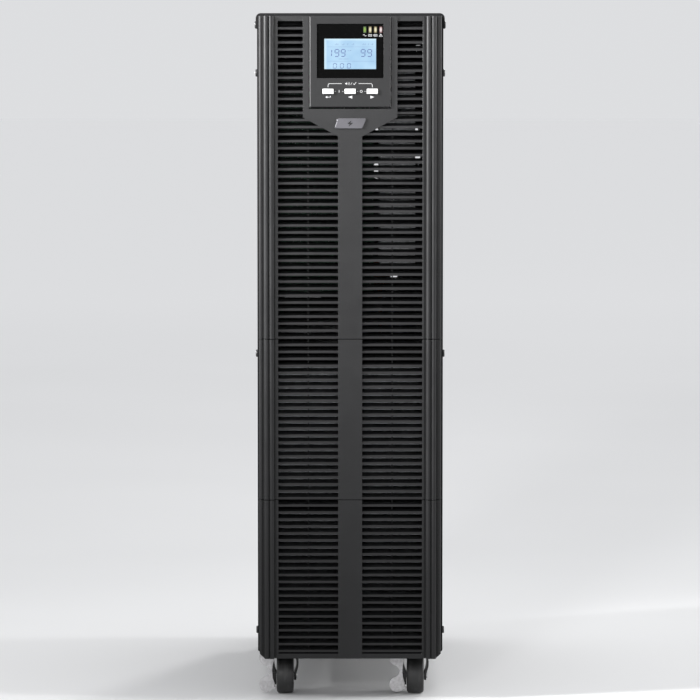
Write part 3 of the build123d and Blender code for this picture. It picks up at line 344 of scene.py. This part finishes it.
def heatsink_aluminium():
    return bare_metal("heatsink_aluminium", (0.70, 0.71, 0.72, 1), (0.28, 0.5), (1, 1, 0.05), 1500.0).material


def capacitor_sleeve():
    """Blue-black shrink sleeve with a bare can top."""
    made = Surface("capacitor_sleeve", Roughness=0.3)
    height = made.axis("Z")
    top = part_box("capacitors")[1].z
    bare = made.spread(height, 0.0, 1.0, top - 1.2 * MM, top - 0.9 * MM)
    shade = made.spread(made.noise(120.0, 3.0), 0.0, 1.0)
    sleeve = made.mix(shade, (0.012, 0.016, 0.050, 1), (0.020, 0.026, 0.070, 1))
    made.feed(made.mix(bare, sleeve, (0.66, 0.66, 0.67, 1)), "Base Color")
    made.feed(bare, "Metallic")
    made.feed(made.relief(made.noise(500.0), 0.03 * MM, made.soft_normal(0.3 * MM)), "Normal")
    return made.material


def copper_winding():
    """Enamelled wire laid side by side, with painted shade between the turns and painted highlights on their
    crowns.
    """
    made = Surface("copper_winding", Metallic=0.85, Coat_Weight=0.6, Coat_Roughness=0.12)
    wave = made.node("ShaderNodeTexWave", wave_type="BANDS", bands_direction="DIAGONAL")
    made.fill(wave, {"Vector": made.where, "Scale": 150.0, "Distortion": 0.6, "Detail": 1.0})
    turns_and_painted_shade = wave.outputs[1]
    # The colour runs from dark between the turns to bright on their crowns: painted shade and painted
    # highlights of the round wire. The same bands also drive the bump.
    made.feed(made.mix(turns_and_painted_shade, (0.30, 0.10, 0.04, 1), (0.74, 0.32, 0.14, 1)), "Base Color")
    made.feed(made.spread(made.noise(200.0), 0.28, 0.42), "Roughness")
    made.feed(made.relief(turns_and_painted_shade, 0.5 * MM), "Normal")
    return made.material


def fan_black():
    return moulded("fan_black", (0.016, 0.016, 0.018, 1), (0.34, 0.48), 900.0, 0.04 * MM, 0.3).material


def guard_wire():
    return bare_metal("guard_wire", (0.62, 0.63, 0.64, 1), (0.16, 0.32), (1, 1, 1), 700.0).material


def breaker_grey():
    return moulded("breaker_grey", (0.36, 0.37, 0.38, 1), (0.38, 0.5), 1300.0, 0.04 * MM, 0.1).material


def toggle_black():
    return moulded("toggle_black", (0.014, 0.014, 0.015, 1), (0.28, 0.4), 1500.0, 0.03 * MM, 0.5).material


def terminal_plastic():
    return moulded("terminal_plastic", (0.05, 0.052, 0.055, 1), (0.4, 0.52), 1200.0, 0.04 * MM, 0.3).material


def grommet_rubber():
    return moulded("grommet_rubber", (0.012, 0.012, 0.012, 1), (0.62, 0.78), 800.0, 0.08 * MM, 0.4).material


def port_metal():
    """Nickel-plated shells."""
    return bare_metal("port_metal", (0.60, 0.59, 0.56, 1), (0.22, 0.4)).material


def screw_black():
    return moulded("screw_black", (0.020, 0.020, 0.021, 1), (0.22, 0.38), 900.0, 0.03 * MM, 0.9).material


def fork_black():
    """Black caster forks and plates with a coarse grain."""
    return moulded("fork_black", (0.008, 0.008, 0.0085, 1), (0.32, 0.5), 700.0, 0.06 * MM, 0.55).material


def wheel_rubber():
    """Dark rubber with paler scuffs all over."""
    made = Surface("wheel_rubber")
    soft = made.soft_normal(0.6 * MM)
    fine = made.noise(900.0, 4.0)
    scuffs = made.noise(180.0, 5.0, (1.0, 0.25, 0.25))
    body = made.mix(made.spread(scuffs, 0.0, 1.0, 0.5, 0.75), grey(0.018), grey(0.052))
    made.feed(made.mix(made.combine("MULTIPLY", made.edge_mask(soft), 0.5), body, grey(0.10)), "Base Color")
    made.feed(made.spread(scuffs, 0.42, 0.62), "Roughness")
    made.feed(made.relief(fine, 0.06 * MM, soft), "Normal")
    return made.material


def pin_steel():
    return bare_metal("pin_steel", (0.58, 0.58, 0.59, 1), (0.22, 0.4), (0.1, 1, 1), 1400.0).material


def lever_zinc():
    """Stamped zinc-plated lever, matte, with a mottled skin."""
    made = Surface("lever_zinc", Metallic=0.55)
    soft = made.soft_normal(0.5 * MM)
    mottle = made.noise(420.0, 5.0)
    colour = made.mix(made.spread(mottle, 0.0, 1.0), (0.45, 0.44, 0.445, 1), (0.64, 0.63, 0.64, 1))
    made.feed(made.mix(made.combine("MULTIPLY", made.edge_mask(soft), 0.5), colour, grey(0.7)), "Base Color")
    made.feed(made.spread(mottle, 0.40, 0.56), "Roughness")
    made.feed(made.relief(mottle, 0.06 * MM, soft), "Normal")
    return made.material


FINISHES = (
    cabinet_steel, bezel_plastic, fascia_plastic, window_black, lcd_face, lens_clear, circuit_board,
    badge_silver, key_white, galvanised_steel, battery_case, copper_link, heatsink_aluminium,
    capacitor_sleeve, copper_winding, fan_black, guard_wire, breaker_grey, toggle_black,
    terminal_plastic, grommet_rubber, port_metal, screw_black, fork_black, wheel_rubber, pin_steel,
    lever_zinc,
)


def dress(finishes):
    """Gives every CAD node the finish of its material slot in the record."""
    for part in frame["record"]["subparts"]:
        node = frame["nodes"][part["node"]]
        finish = finishes[part["material_slot"]]
        for place in node.material_slots:
            place.material = finish


# ---------------------------------------------------------------- mesh helpers

def place_piece(mesh, name, material, body):
    piece = bpy.data.objects.new(name, mesh)
    bpy.context.scene.collection.objects.link(piece)
    mesh.materials.append(material)
    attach(piece, body)
    return piece


def offsets(points, width, ring):
    """Points on both sides of a path in the x, z plane."""
    count = len(points)
    sides = ([], [])
    for index, (x, z) in enumerate(points):
        before = points[index - 1] if ring or index else None
        after = points[(index + 1) % count] if ring or index + 1 < count else None
        runs = []
        if before is not None:
            runs.append(Vector((x - before[0], z - before[1])).normalized())
        if after is not None:
            runs.append(Vector((after[0] - x, after[1] - z)).normalized())
        along = sum(runs, Vector((0.0, 0.0))).normalized()
        normal = Vector((-along.y, along.x))
        first = Vector((-runs[0].y, runs[0].x))
        reach = width / 2 / max(0.35, normal.dot(first))
        sides[0].append((x + normal.x * reach, z + normal.y * reach))
        sides[1].append((x - normal.x * reach, z - normal.y * reach))
    return sides


class Print:
    """Thin flat characters that stand on a face which looks toward the front."""

    def __init__(self, face_y, thickness=INK):
        self.mesh = bmesh.new()
        self.back = face_y
        self.front = face_y - thickness

    def vertex(self, point, y):
        return self.mesh.verts.new((point[0], y, point[1]))

    def area(self, outline):
        """A filled outline."""
        front = [self.vertex(point, self.front) for point in outline]
        back = [self.vertex(point, self.back) for point in outline]
        self.mesh.faces.new(front)
        self.mesh.faces.new(list(reversed(back)))
        self.walls(front, back, True)

    def walls(self, front, back, ring):
        count = len(front)
        for index in range(count if ring else count - 1):
            after = (index + 1) % count
            self.mesh.faces.new((front[after], front[index], back[index], back[after]))

    def line(self, points, width, ring=False):
        """A stroke of even width along a path."""
        left, right = offsets(points, width, ring)
        fronts = [[self.vertex(point, self.front) for point in side] for side in (left, right)]
        backs = [[self.vertex(point, self.back) for point in side] for side in (left, right)]
        count = len(points)
        for index in range(count if ring else count - 1):
            after = (index + 1) % count
            self.mesh.faces.new((fronts[0][index], fronts[0][after], fronts[1][after], fronts[1][index]))
            self.mesh.faces.new((backs[1][index], backs[1][after], backs[0][after], backs[0][index]))
        self.walls(fronts[0], backs[0], ring)
        self.walls(list(reversed(fronts[1])), list(reversed(backs[1])), ring)
        if not ring:
            for end in (0, -1):
                ends = (fronts[0][end], backs[0][end], backs[1][end], fronts[1][end])
                self.mesh.faces.new(ends)

    def finish(self, name, material, body):
        bmesh.ops.recalc_face_normals(self.mesh, faces=self.mesh.faces)
        mesh = bpy.data.meshes.new(name)
        self.mesh.to_mesh(mesh)
        self.mesh.free()
        return place_piece(mesh, name, material, body)


def arc(x, z, radius, start, end, steps=6):
    """Points on an arc, angles in degrees."""
    turns_and_painted_shade = [math.radians(start + (end - start) * step / steps) for step in range(steps + 1)]
    return [(x + radius * math.cos(turn), z + radius * math.sin(turn)) for turn in turns_and_painted_shade]


# ---------------------------------------------------------------- display characters

SEGMENTS = {
    "0": "abcdef", "1": "bc", "2": "abdeg", "3": "abcdg", "4": "bcfg",
    "5": "acdfg", "6": "acdefg", "7": "abc", "8": "abcdefg", "9": "abcdfg",
}


def digit(page, figure, x, z, wide, high, stroke):
    """One seven-segment figure with its lower left corner at x, z."""
    lean = 0.06
    gap = stroke * 0.28

    def bar(x0, z0, x1, z1):
        shift0, shift1 = (z0 - z) * lean, (z1 - z) * lean
        run = Vector((x1 + shift1 - x0 - shift0, z1 - z0))
        unit = run.normalized()
        side = Vector((-unit.y, unit.x)) * stroke / 2
        start = Vector((x0 + shift0, z0)) + unit * gap
        end = Vector((x1 + shift1, z1)) - unit * gap
        tip = unit * stroke / 2
        page.area([start, start + tip + side, end - tip + side, end, end - tip - side, start + tip - side])

    half = high / 2
    ends = {
        "a": (x, z + high, x + wide, z + high), "b": (x + wide, z + half, x + wide, z + high),
        "c": (x + wide, z, x + wide, z + half), "d": (x, z, x + wide, z),
        "e": (x, z, x, z + half), "f": (x, z + half, x, z + high),
        "g": (x, z + half, x + wide, z + half),
    }
    for letter in SEGMENTS[figure]:
        bar(*ends[letter])


def display_characters(material, faint):
    """Two readings, three zeros below them, rules between the rows and a row of small marks."""
    left = -GLASS_HALF
    low = GLASS_MIDDLE - GLASS_HIGH / 2
    page = Print(GLASS_Y)
    tall, wide, stroke = 6.9 * MM, 3.9 * MM, 0.85 * MM
    row = low + 12.4 * MM
    for place, figure in ((6.0, "1"), (10.2, "9"), (16.4, "9"), (36.2, "9"), (42.7, "9")):
        width = wide if figure != "1" else 0.9 * MM
        digit(page, figure, left + place * MM, row, width, tall, stroke)
    for place in (8.6, 15.6, 22.6):
        digit(page, "0", left + place * MM, low + 0.8 * MM, 3.2 * MM, 4.6 * MM, 0.6 * MM)
    page.finish("display_readings", material, "cabinet")

    page = Print(GLASS_Y, INK * 0.6)
    for rise in (7.6, 21.9):
        z = low + rise * MM
        page.line([(left + 3 * MM, z), (-left - 2 * MM, z)], 0.3 * MM)
    top = low + 24.0 * MM
    hooks = (
        (10.5, 1.4), (12.6, 0.9), (17.2, 2.2), (22.4, 0.9), (27.0, 2.0),
        (37.6, 1.1), (39.5, 1.1), (43.0, 0.9), (46.2, 1.8),
    )
    for place, size in hooks:
        x = left + place * MM
        page.line([(x, top), (x + size * MM, top), (x + size * MM, top + 1.5 * MM)], 0.45 * MM)
    unit_z = low + 18.2 * MM
    for place in (23.0, 25.2):
        page.line([(left + place * MM, unit_z), (left + (place + 1.4) * MM, unit_z)], 0.7 * MM)
    page.line([(left + 14 * MM, low + 9.9 * MM), (left + 24 * MM, low + 9.9 * MM)], 0.5 * MM)
    page.finish("display_marks", faint, "cabinet")


# ---------------------------------------------------------------- printed symbols

def lamp_symbols(material):
    """Mains wave, two battery outlines and a warning triangle under the lamps."""
    page = Print(WINDOW_LOW.y)
    places = [LAMP_FIRST + LAMP_PITCH * index for index in range(4)]
    z = LENS_LOW.z - 2.6 * MM
    thin = 0.34 * MM
    wave = []
    for step in range(13):
        share = step / 12
        wave.append((places[0] + (share - 0.5) * 3.4 * MM, z + 0.8 * MM * math.sin(share * math.tau)))
    page.line(wave, thin)
    for x in places[1:3]:
        half, high = 1.6 * MM, 0.95 * MM
        case = [(x - half, z - high), (x + half, z - high), (x + half, z + high), (x - half, z + high)]
        page.line(case, thin, True)
    x = places[1]
    page.line([(x - 0.8 * MM, z), (x + 0.8 * MM, z)], thin)
    x = places[2]
    for shift in (-0.7, 0.0, 0.7):
        page.line([(x + shift * MM, z - 0.5 * MM), (x + shift * MM, z + 0.5 * MM)], 0.3 * MM)
    x = places[3]
    page.line([(x - 1.7 * MM, z - 1.1 * MM), (x + 1.7 * MM, z - 1.1 * MM), (x, z + 1.5 * MM)], thin, True)
    page.line([(x, z - 0.6 * MM), (x, z + 0.5 * MM)], 0.35 * MM)
    page.finish("lamp_symbols", material, "cabinet")


def fascia_symbols(material):
    """Bracket over the keys with a speaker and a tick, a bar and a ring between them, arrows under them."""
    page = Print(FASCIA_LOW.y)
    left, middle, right = KEY_MIDDLES
    line_z = left.z + 7.7 * MM
    foot_z = left.z + 4.0 * MM
    radius = 1.8 * MM
    gap = 8.4 * MM
    width = 0.5 * MM
    corner = arc(left.x + radius, line_z - radius, radius, 180, 90)
    page.line([(left.x, foot_z)] + corner + [(middle.x - gap, line_z)], width)
    corner = arc(right.x - radius, line_z - radius, radius, 90, 0)
    page.line([(middle.x + gap, line_z)] + corner + [(right.x, foot_z)], width)

    speaker = ((-5.0, -0.5), (-4.1, -0.5), (-3.1, -1.3), (-3.1, 1.3), (-4.1, 0.5), (-5.0, 0.5))
    page.area([(middle.x + x * MM, line_z + z * MM) for x, z in speaker])
    for sweep in (1.1, 2.1):
        page.line(arc(middle.x - 2.9 * MM, line_z, sweep * MM, -45, 45), 0.35 * MM)
    page.line([(middle.x + 0.5 * MM, line_z - 1.2 * MM), (middle.x + 1.9 * MM, line_z + 1.2 * MM)], 0.35 * MM)
    tick = ((3.0, 0.0), (4.0, -1.1), (5.9, 1.3))
    page.line([(middle.x + x * MM, line_z + z * MM) for x, z in tick], 0.5 * MM)

    for first, second, mark in ((left, middle, "on"), (middle, right, "off")):
        x = (first.x + second.x) / 2
        for side in (-1, 1):
            start = x + side * 3.1 * MM
            page.line([(start, first.z), (start + side * 1.3 * MM, first.z)], 0.4 * MM)
        if mark == "on":
            page.line([(x, first.z - 1.2 * MM), (x, first.z + 1.2 * MM)], 0.5 * MM)
        else:
            page.line(arc(x, first.z, 1.1 * MM, 0, 337.5, 15), 0.45 * MM, True)

    z = left.z - 5.7 * MM
    hook = ((2.4, 1.3), (2.4, 0.0), (-0.8, 0.0))
    page.line([(left.x + x * MM, z + y * MM) for x, y in hook], 0.5 * MM)
    head = ((-2.6, 0.0), (-0.8, 1.2), (-0.8, -1.2))
    page.area([(left.x + x * MM, z + y * MM) for x, y in head])
    for place, side in ((middle, -1), (right, 1)):
        arrow = ((side * 2.1, 0.0), (-side * 2.0, 1.5), (-side * 2.0, -1.5))
        page.area([(place.x + x * MM, z + y * MM) for x, y in arrow])
    page.finish("fascia_symbols", material, "cabinet")


# ---------------------------------------------------------------- fan rotors

def lathe(mesh, axis_x, axis_z, profile, steps=72):
    """Closed body of revolution about a line along Y; profile is (radius, y)."""
    rings = []
    for radius, y in profile:
        if radius < 1e-6:
            rings.append([mesh.verts.new((axis_x, y, axis_z))])
            continue
        ring = []
        for step in range(steps):
            turn = math.tau * step / steps
            x, z = axis_x + radius * math.cos(turn), axis_z + radius * math.sin(turn)
            ring.append(mesh.verts.new((x, y, z)))
        rings.append(ring)
    for first, second in zip(rings, rings[1:]):
        for step in range(steps):
            after = (step + 1) % steps
            corners = {}
            for ring in (first, second):
                for place in ((step, after) if ring is first else (after, step)):
                    vertex = ring[place % len(ring)]
                    corners[vertex] = None
            mesh.faces.new(list(corners))


def blade(mesh, axis_x, axis_z, turn, y_front, y_back, root, tip):
    """Swept and cambered blade, thinner toward its tip and rounded at both edges."""
    across, along = 12, 10
    layers = []
    for side in (-1, 1):
        rows = []
        for i in range(along + 1):
            share = i / along
            radius = root + (tip - root) * share
            sweep = math.radians(13.0 * share * share)
            chord = math.radians(44.0 - 9.0 * share)
            row = []
            for j in range(across + 1):
                step = j / across
                angle = turn + sweep + (step - 0.5) * chord
                camber = 1.6 * MM * math.sin(math.pi * step)
                y = y_front + (y_back - y_front) * step + camber
                rounding = math.sqrt(max(0.04, math.sin(math.pi * (0.06 + 0.88 * step))))
                y += side * (0.95 - 0.4 * share) * MM * rounding
                x, z = axis_x + radius * math.cos(angle), axis_z + radius * math.sin(angle)
                row.append(mesh.verts.new((x, y, z)))
            rows.append(row)
        layers.append(rows)
    for rows, flip in ((layers[0], False), (layers[1], True)):
        for i in range(along):
            for j in range(across):
                face = [rows[i][j], rows[i + 1][j], rows[i + 1][j + 1], rows[i][j + 1]]
                mesh.faces.new(face[::-1] if flip else face)
    rim = [(i, 0) for i in range(along)] + [(along, j) for j in range(across)]
    rim += [(i, across) for i in range(along, 0, -1)] + [(0, j) for j in range(across, 0, -1)]
    low, high = layers
    for (i, j), (k, m) in zip(rim, rim[1:] + rim[:1]):
        mesh.faces.new((low[i][j], low[k][m], high[k][m], high[i][j]))


def fan_rotor(side, material):
    """Rotor with a rounded hub cup and seven curved blades."""
    name = f"fan_rotor_{side}"
    low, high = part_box(name)
    axis = centre(name)
    tip = 36.4 * MM
    mesh = bmesh.new()
    hub, fillet = 16.0 * MM, 2.0 * MM
    edge = [(hub - fillet + fillet * math.sin(turn), high.y - fillet + fillet * math.cos(turn))
            for turn in [math.pi / 2 * step / 6 for step in range(7)]]
    profile = [(0.0, high.y - 0.5 * MM), (5.0 * MM, high.y - 0.5 * MM), (5.6 * MM, high.y)] + edge
    profile += [(hub, low.y), (hub - 1.5 * MM, low.y), (hub - 1.5 * MM, high.y - 3.0 * MM)]
    profile += [(2.7 * MM, high.y - 3.0 * MM), (2.7 * MM, high.y - 2.1 * MM), (0.0, high.y - 2.1 * MM)]
    lathe(mesh, axis.x, axis.z, profile)
    y_front, y_back = low.y + 2.6 * MM, high.y - 3.4 * MM
    for index in range(7):
        blade(mesh, axis.x, axis.z, math.tau * index / 7, y_front, y_back, 15.2 * MM, tip)
    bmesh.ops.recalc_face_normals(mesh, faces=mesh.faces)
    for face in mesh.faces:
        face.smooth = True
    made = bpy.data.meshes.new(f"rotor_blades_{side}")
    mesh.to_mesh(made)
    mesh.free()
    made.set_sharp_from_angle(angle=math.radians(38))
    piece = place_piece(made, f"rotor_blades_{side}", material, name)
    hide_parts(name)
    return piece


# ---------------------------------------------------------------- stage, lights and camera

def floor():
    """Large pale disc under the casters, palest far from the unit, where painted light makes up for the lamps
    lighting only the floor near the unit.
    """
    mesh = bmesh.new()
    bmesh.ops.create_circle(mesh, cap_ends=True, cap_tris=False, segments=96, radius=30.0)
    made = bpy.data.meshes.new("floor")
    mesh.to_mesh(made)
    mesh.free()
    surface = Surface("floor", Specular_IOR_Level=0.05)
    reach = surface.node("ShaderNodeVectorMath", operation="LENGTH")
    surface.fill(reach, {0: surface.where})
    # Paler from 1 m to 6 m out: painted light, so that the far floor, lit only by the sky, is as bright as
    # the near floor under the lamps.
    far_painted_light = surface.spread(reach.outputs["Value"], 0.0, 1.0, 1.0, 6.0)
    cloud = surface.spread(surface.noise(1.2, 2.0), 0.0, 1.0)
    near = surface.mix(cloud, grey(0.84), grey(0.87))
    surface.feed(surface.mix(far_painted_light, near, grey(0.985)), "Base Color")
    surface.feed(surface.spread(cloud, 0.85, 0.95), "Roughness")
    made.materials.append(surface.material)
    piece = bpy.data.objects.new("floor", made)
    bpy.context.scene.collection.objects.link(piece)
    piece.location.z = -0.1 * MM


def area_light(name, position, target, size, power):
    data = bpy.data.lights.new(name, "AREA")
    data.shape = "RECTANGLE"
    data.size, data.size_y = size
    data.energy = power
    lamp = bpy.data.objects.new(name, data)
    bpy.context.scene.collection.objects.link(lamp)
    lamp.location = position
    aim = Vector(target) - Vector(position)
    lamp.rotation_euler = aim.to_track_quat("-Z", "Y").to_euler()


def spot_light(name, position, target, cone, power, radius):
    data = bpy.data.lights.new(name, "SPOT")
    data.energy = power
    data.spot_size = math.radians(cone)
    data.spot_blend = 1.0
    data.shadow_soft_size = radius
    lamp = bpy.data.objects.new(name, data)
    bpy.context.scene.collection.objects.link(lamp)
    lamp.location = position
    aim = Vector(target) - Vector(position)
    lamp.rotation_euler = aim.to_track_quat("-Z", "Y").to_euler()


def lights():
    middle = (CAD_LOW + CAD_HIGH) / 2
    top = Vector((middle.x, CAD_LOW.y, CAD_HIGH.z))
    above = top + Vector((0, 0, 0.06))
    spot_light("key", (-0.8, -3.4, 1.3), above, cone=27, power=290, radius=0.25)
    spot_light("left_edge", (-1.7, -0.62, 1.25), top, cone=34, power=1150, radius=0.15)
    spot_light("right_edge", (1.9, -0.5, 1.2), top, cone=34, power=240, radius=0.15)
    spot_light("right_side", (3.0, 0.4, 1.3), middle, cone=26, power=160, radius=0.4)
    upper = middle + Vector((0, 0, 0.25))
    spot_light("rear_key", (1.2, 3.4, 1.5), upper, cone=28, power=330, radius=0.3)
    area_light("overhead", (0.0, 0.6, 2.8), middle, size=(1.6, 1.6), power=12)

    world = bpy.data.worlds.new("studio")
    bpy.context.scene.world = world
    world.use_nodes = True
    background = world.node_tree.nodes["Background"]
    background.inputs["Color"].default_value = (0.93, 0.94, 0.96, 1)
    background.inputs["Strength"].default_value = 0.78


def camera():
    """Long lens in front of the unit, near the height of its top and tipped a little down.

    width_seen is how much of the front plane the picture spans.
    """
    distance = 4.0
    height = 0.66
    width_seen = 0.6968
    aim = Vector((-0.0002, CAD_LOW.y, 0.3527))
    data = bpy.data.cameras.new("camera")
    data.sensor_width = 36.0
    data.lens = data.sensor_width * distance / width_seen
    data.clip_start, data.clip_end = 0.1, 60.0
    eye = bpy.data.objects.new("camera", data)
    bpy.context.scene.collection.objects.link(eye)
    eye.location = Vector((aim.x, aim.y - distance, height))
    eye.rotation_euler = (aim - eye.location).to_track_quat("-Z", "Y").to_euler()
    bpy.context.scene.camera = eye


# ---------------------------------------------------------------- the whole scene

finishes = {make.__name__: make() for make in FINISHES}
dress(finishes)

ink = moulded("print_white", (0.34, 0.34, 0.345, 1), (0.45, 0.6), 3000.0, 0.01 * MM, 0.05).material
segments = display_ink("display_segment", (0.15, 0.22, 0.50, 1))
faint = display_ink("display_faint", (0.30, 0.45, 0.70, 1))
display_characters(segments, faint)
lamp_symbols(ink)
fascia_symbols(ink)
for side in ("left", "right"):
    fan_rotor(side, finishes["fan_black"])

floor()
lights()
camera()
bpy.context.scene.view_settings.view_transform = "Standard"
